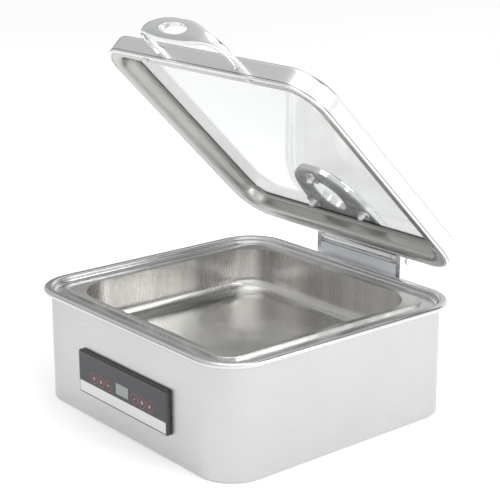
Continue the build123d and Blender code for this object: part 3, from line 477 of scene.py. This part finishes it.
def handle_ring(point, outward, around):
    """One section of the handle: a thin bar at the legs, an egg-shaped strap in the middle."""
    swell = math.exp(-((abs(point.x) / STRAP_SWELL_WIDTH) ** STRAP_SWELL_POWER))
    flare = math.exp(-point.y / FOOT_FLARE_LENGTH)
    half_height = 4.3 + 13.2 * swell + 2.2 * flare
    half_depth = 4.2 + 1.0 * swell + 2.0 * flare
    level = HANDLE_LEVEL + STRAP_RISE * swell
    ring = []
    for j in range(around):
        turn = math.tau * j / around
        high = math.copysign(abs(math.sin(turn)) ** SECTION_SQUARENESS, math.sin(turn))
        deep = math.copysign(abs(math.cos(turn)) ** SECTION_SQUARENESS, math.cos(turn))
        inwards = half_depth * (1.0 - deep) * (1.0 - SECTION_TAPER * swell * high)
        place = point - outward * inwards
        ring.append(lid_point(place.x, max(place.y, 0.0), level + half_height * high))
    return ring


def build_handle():
    """The bowed chrome handle: lofted, pierced by its oval hole and polished round."""
    stations, around = 180, 48
    line = bow_line(stations)
    points = []
    for i, point in enumerate(line):
        run = line[min(i + 1, stations - 1)] - line[max(i - 1, 0)]
        outward = Vector((run.y, -run.x)).normalized()
        if outward.dot(point) < 0:
            outward.negate()
        points += handle_ring(point, outward, around)
    mesh = plain_mesh("handle_strap", points, tube_faces(stations, around, closed=False))
    strap = link_piece("handle_strap", mesh, "chrome", "lid")
    rim = []
    for reach in HOLE_CUT:
        for j in range(HOLE_POINTS):
            turn = math.tau * j / HOLE_POINTS
            across = HOLE_HALF[0] * math.cos(turn)
            rim.append(lid_point(across, reach, HOLE_LEVEL + HOLE_HALF[1] * math.sin(turn)))
    cutter_mesh = plain_mesh(
        "hole_cutter", rim, tube_faces(len(HOLE_CUT), HOLE_POINTS, closed=False)
    )
    cutter = bpy.data.objects.new("hole_cutter", cutter_mesh)
    bpy.context.scene.collection.objects.link(cutter)
    pierce = strap.modifiers.new("pierce", "BOOLEAN")
    pierce.operation = "DIFFERENCE"
    pierce.object = cutter
    even = strap.modifiers.new("even", "REMESH")
    even.mode = "VOXEL"
    even.voxel_size = HANDLE_VOXEL * MM
    polish = strap.modifiers.new("polish", "SMOOTH")
    polish.factor = 0.5
    polish.iterations = 14
    apply_modifiers(strap)
    bpy.data.objects.remove(cutter)
    bpy.data.meshes.remove(cutter_mesh)
    strap.data.shade_smooth()
    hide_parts("handle")


build_handle()


# ------------------------------------------------------------------ the lid's hem
# Size and place of the black strip that paints the shade of the groove above the hem.
SHADE_LINE_LEVEL = 3.6
SHADE_LINE_HEIGHT = 1.3
SHADE_LINE_PROUD = 0.08
SHADE_LINE_DEPTH = 0.5
SHADE_LINE_STEPS = 24
LID_CORNER = 52.0


def rounded_outline(half_width, half_depth, radius, steps):
    """Points round a rounded rectangle, centred on the origin."""
    outline = []
    corners = ((1, 1, 0), (-1, 1, 90), (-1, -1, 180), (1, -1, 270))
    for side_x, side_y, first in corners:
        for i in range(steps + 1):
            turn = math.radians(first + 90 * i / steps)
            outline.append(
                (
                    side_x * (half_width - radius) + radius * math.cos(turn),
                    side_y * (half_depth - radius) + radius * math.sin(turn),
                )
            )
    return outline


def build_hem_shade_line():
    """A fine black strip above the lid's rolled hem: painted shade for the shaded groove there."""
    half_width = (lid_high.x - lid_low.x) / 2 / MM
    half_depth = (lid_high.y - lid_low.y) / 2 / MM
    outline = rounded_outline(half_width, half_depth, LID_CORNER, SHADE_LINE_STEPS)
    section = (
        (-SHADE_LINE_DEPTH, 0.0), (SHADE_LINE_PROUD, 0.15), (SHADE_LINE_PROUD, 0.85), (-SHADE_LINE_DEPTH, 1.0)
    )
    points = []
    for x, y in outline:
        past_x = max(abs(x) - half_width + LID_CORNER, 0.0)
        past_y = max(abs(y) - half_depth + LID_CORNER, 0.0)
        corner = Vector((past_x, past_y))
        facing = corner.normalized() if corner.length > 0 else Vector((0.0, 1.0))
        for out, share in section:
            across = x + math.copysign(facing.x, x) * out
            along = y + math.copysign(facing.y, y) * out + half_depth
            rise = SHADE_LINE_LEVEL + SHADE_LINE_HEIGHT * (share - 0.5)
            points.append(lid_point(across, -along, rise))
    faces = tube_faces(len(outline), len(section), closed=True)
    # The black seal finish here is painted shade for the groove above the hem.
    link_piece("hem_shade_line", plain_mesh("hem_shade_line", points, faces), "seal", "lid")


build_hem_shade_line()


# ------------------------------------------------------------------ the acorn nuts
NUT_CORNER = 5.6
DOME_RADIUS = 4.4
DOME_STEPS = 12
DOME_TURN = 88.0
NUT_POINTS = 72
NUT_EDGE_ANGLE = 32
NUT_SECTION = ((0.0, 5.2), (0.3, 5.6), (3.5, 5.6), (4.1, 5.1), (4.45, 4.7), (4.5, 4.4))


def loose_parts(mesh):
    """The vertices of a mesh in groups, one for each of its loose parts."""
    group_of = list(range(len(mesh.vertices)))

    def first_of(vertex):
        while group_of[vertex] != vertex:
            group_of[vertex] = group_of[group_of[vertex]]
            vertex = group_of[vertex]
        return vertex

    same_place = {}
    for vertex in mesh.vertices:
        place = tuple(round(c, 6) for c in vertex.co)
        group_of[first_of(vertex.index)] = first_of(same_place.setdefault(place, vertex.index))
    for edge in mesh.edges:
        group_of[first_of(edge.vertices[0])] = first_of(edge.vertices[1])
    groups = {}
    for vertex in mesh.vertices:
        groups.setdefault(first_of(vertex.index), []).append(vertex.co.copy())
    return list(groups.values())


def nut_rings(centre, seat, around):
    """The rings of a domed nut that hangs from its seat, with chamfered flats below a dome."""
    section = list(NUT_SECTION)
    for i in range(1, DOME_STEPS):
        turn = math.radians(DOME_TURN * i / (DOME_STEPS - 1))
        depth = NUT_SECTION[-1][0] + DOME_RADIUS * math.sin(turn)
        section.append((depth, DOME_RADIUS * math.cos(turn)))
    flat = NUT_CORNER * math.cos(math.radians(30))
    points = []
    for depth, limit in section:
        for j in range(around):
            turn = 360.0 * j / around
            radius = min(limit, flat / math.cos(math.radians(turn % 60 - 30)))
            across = centre[0] + radius * MM * math.cos(math.radians(turn))
            along = centre[1] + radius * MM * math.sin(math.radians(turn))
            points.append(open_lid @ Vector((across, along, seat - depth * MM)))
    return points, len(section)


def build_nuts():
    """The domed nuts that hold the hinge arm to the glass."""
    points, faces = [], []
    for part in loose_parts(frame["nodes"]["acorn_nuts"].data):
        level = [close_lid @ v for v in part]
        middle = [(min(v[i] for v in level) + max(v[i] for v in level)) / 2 for i in (0, 1)]
        rings, stations = nut_rings(middle, max(v.z for v in level), NUT_POINTS)
        offset = len(points)
        faces += [
            tuple(offset + corner for corner in face)
            for face in tube_faces(stations, NUT_POINTS, closed=False)
        ]
        points += rings
    nuts = link_piece("dome_nuts", plain_mesh("dome_nuts", points, faces), "chrome", "lid")
    nuts.data.set_sharp_from_angle(angle=math.radians(NUT_EDGE_ANGLE))
    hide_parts("acorn_nuts")


build_nuts()


# ------------------------------------------------------------------ the touch keys
glass_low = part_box("touch_glass")[0]
sensor_low, sensor_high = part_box("key_sensors")
KEY_OFFSETS = (-62.5, -46.0, -29.5, 29.5, 46.0, 62.5)
KEY_RADIUS = 7.2
KEY_LINE = 0.32
PRINT_FLATNESS = 0.35
key_level = (sensor_low.z + sensor_high.z) / 2


def arc(radius, start, end, steps=16, centre=(0.0, 0.0)):
    """Points of an arc in millimetres, its angles in degrees."""
    points = []
    for i in range(steps + 1):
        turn = math.radians(start + (end - start) * i / steps)
        across = centre[0] + radius * math.cos(turn)
        points.append((across, centre[1] + radius * math.sin(turn)))
    return points


def panel_lines(name, across, strokes, width, slot):
    """Printed lines on the panel's glass, each with a rounded, slightly raised section."""
    curve = bpy.data.curves.new(name, "CURVE")
    curve.dimensions = "3D"
    curve.bevel_depth = width * MM
    curve.bevel_resolution = 2
    curve.use_fill_caps = True
    for stroke in strokes:
        spline = curve.splines.new("POLY")
        spline.points.add(len(stroke) - 1)
        for point, (x, z) in zip(spline.points, stroke):
            point.co = ((across + x) * MM, 0.0, key_level + z * MM, 1.0)
    drawing = bpy.data.objects.new(name, curve)
    bpy.context.scene.collection.objects.link(drawing)
    graph = bpy.context.evaluated_depsgraph_get()
    graph.update()
    mesh = bpy.data.meshes.new_from_object(drawing.evaluated_get(graph))
    bpy.data.objects.remove(drawing)
    bpy.data.curves.remove(curve)
    for vertex in mesh.vertices:
        vertex.co.y = glass_low.y + PRINT_FLATNESS * vertex.co.y
    link_piece(name, mesh, slot, "root")


ICONS = {
    "power": [arc(1.9, 125, 415), [(0.0, 0.4), (0.0, 2.4)]],
    "lock": [
        [(-1.6, -1.8), (1.6, -1.8), (1.6, 0.4), (-1.6, 0.4), (-1.6, -1.8)],
        arc(1.1, 0, 180, centre=(0.0, 0.5)),
    ],
    "plus": [[(-1.7, 0.0), (1.7, 0.0)], [(0.0, -1.7), (0.0, 1.7)]],
    "minus": [[(-1.7, 0.0), (1.7, 0.0)]],
    "clock": [arc(1.9, 0, 360, steps=24), [(0.0, 1.2), (0.0, 0.0), (0.9, -0.5)]],
    "heat": [
        [(x, -1.8), (x + 0.5, -0.6), (x - 0.2, 0.6), (x + 0.3, 1.8)] for x in (-1.5, 0.0, 1.5)
    ],
}
for across, (icon_name, strokes) in zip(KEY_OFFSETS, ICONS.items()):
    ring = arc(KEY_RADIUS, 0, 360, steps=48)
    panel_lines(f"key_ring_{icon_name}", across, [ring], KEY_LINE, "key_red")
    panel_lines(f"key_icon_{icon_name}", across, strokes, KEY_LINE, "light_plastic")


# ------------------------------------------------------------------ camera
CAMERA_AZIMUTH = math.radians(50.30)
CAMERA_ELEVATION = math.radians(16.62)
CAMERA_PLACE = Vector((1.4249, -1.1706, 0.7685))
CAMERA_LENS = 102.37
towards_camera = Vector(
    (
        math.sin(CAMERA_AZIMUTH) * math.cos(CAMERA_ELEVATION),
        -math.cos(CAMERA_AZIMUTH) * math.cos(CAMERA_ELEVATION),
        math.sin(CAMERA_ELEVATION),
    )
)
camera_data = bpy.data.cameras.new("camera")
camera_data.lens = CAMERA_LENS
camera_data.sensor_width = 36.0
camera_data.clip_end = 100.0
camera = bpy.data.objects.new("camera", camera_data)
camera.location = CAMERA_PLACE
camera.rotation_euler = towards_camera.to_track_quat("Z", "Y").to_euler()
bpy.context.scene.collection.objects.link(camera)
bpy.context.scene.camera = camera


# ------------------------------------------------------------------ floor and light
FLOOR_HALF = 14.0
FLOOR_GLOW = 0.24


def make_floor(size):
    """A plain pale floor with a slight glow, so that it stays white far from the lamps."""
    mesh = bpy.data.meshes.new("floor")
    corners = [(-size, -size, 0), (size, -size, 0), (size, size, 0), (-size, size, 0)]
    mesh.from_pydata(corners, [], [(0, 1, 2, 3)])
    floor = bpy.data.objects.new("floor", mesh)
    bpy.context.scene.collection.objects.link(floor)
    material, shader = new_material("floor")
    cloud = add_noise(material, (0.8, 0.8, 0.8), detail=3.0)
    tone = blend_colours(material, remap(material, cloud, 0.0, 1.0), grey(0.90), grey(0.87))
    material.node_tree.links.new(tone, shader.inputs["Base Color"])
    material.node_tree.links.new(
        remap(material, cloud, 0.75, 0.9), shader.inputs["Roughness"]
    )
    shader.inputs["Specular IOR Level"].default_value = 0.1
    shader.inputs["Emission Color"].default_value = (1.0, 1.0, 1.0, 1.0)
    shader.inputs["Emission Strength"].default_value = FLOOR_GLOW
    mesh.materials.append(material)


def add_light(name, place, target, size, power):
    """A soft square light that faces a target."""
    data = bpy.data.lights.new(name, "AREA")
    data.shape = "RECTANGLE"
    data.size = size
    data.size_y = size
    data.energy = power
    light = bpy.data.objects.new(name, data)
    light.location = place
    away = Vector(place) - Vector(target)
    light.rotation_euler = away.to_track_quat("Z", "Y").to_euler()
    bpy.context.scene.collection.objects.link(light)


def ramp_value(nodes, links, direction, start, end, low, high):
    """A number that goes from low to high as the sky direction turns towards a direction."""
    place = nodes.new("ShaderNodeTexCoord")
    facing = nodes.new("ShaderNodeVectorMath")
    facing.operation = "DOT_PRODUCT"
    facing.inputs[1].default_value = Vector(direction).normalized()
    links.new(place.outputs["Generated"], facing.inputs[0])
    ease = nodes.new("ShaderNodeMapRange")
    ease.interpolation_type = "SMOOTHSTEP"
    ease.inputs["From Min"].default_value = start
    ease.inputs["From Max"].default_value = end
    ease.inputs["To Min"].default_value = low
    ease.inputs["To Max"].default_value = high
    links.new(facing.outputs["Value"], ease.inputs["Value"])
    return ease.outputs["Result"]


def make_world():
    """A white studio that is brighter to the back right, with darker flags round the lamps."""
    world = bpy.data.worlds.new("studio")
    bpy.context.scene.world = world
    world.use_nodes = True
    nodes, links = world.node_tree.nodes, world.node_tree.links
    nodes.clear()
    level = ramp_value(nodes, links, BRIGHT_SIDE, -1.0, 0.8, DIM_LEVEL, BRIGHT_LEVEL)
    for direction, start, end, depth in DARK_FLAGS:
        flag = ramp_value(nodes, links, direction, start, end, 1.0, depth)
        product = nodes.new("ShaderNodeMath")
        product.operation = "MULTIPLY"
        links.new(level, product.inputs[0])
        links.new(flag, product.inputs[1])
        level = product.outputs["Value"]
    background = nodes.new("ShaderNodeBackground")
    background.inputs["Color"].default_value = (1.0, 1.0, 1.0, 1.0)
    links.new(level, background.inputs["Strength"])
    output = nodes.new("ShaderNodeOutputWorld")
    links.new(background.outputs["Background"], output.inputs["Surface"])


BRIGHT_SIDE = (0.75, 0.50, 0.40)
DIM_LEVEL = 0.55
BRIGHT_LEVEL = 1.15
DARK_FLAGS = (
    ((-0.75, -0.28, 0.60), 0.80, 0.97, 0.90),
    ((-0.83, 0.53, 0.16), 0.93, 0.99, 0.25),
    ((0.27, 0.61, 0.72), 0.82, 0.95, 0.12),
)
make_floor(FLOOR_HALF)
make_world()
add_light("key", (2.2, 0.9, 1.7), (0, 0, 0.15), 1.4, 31.0)
add_light("top", (0.3, -0.2, 2.4), (0, 0, 0.1), 1.8, 12.0)
bpy.context.scene.view_settings.view_transform = "Standard"
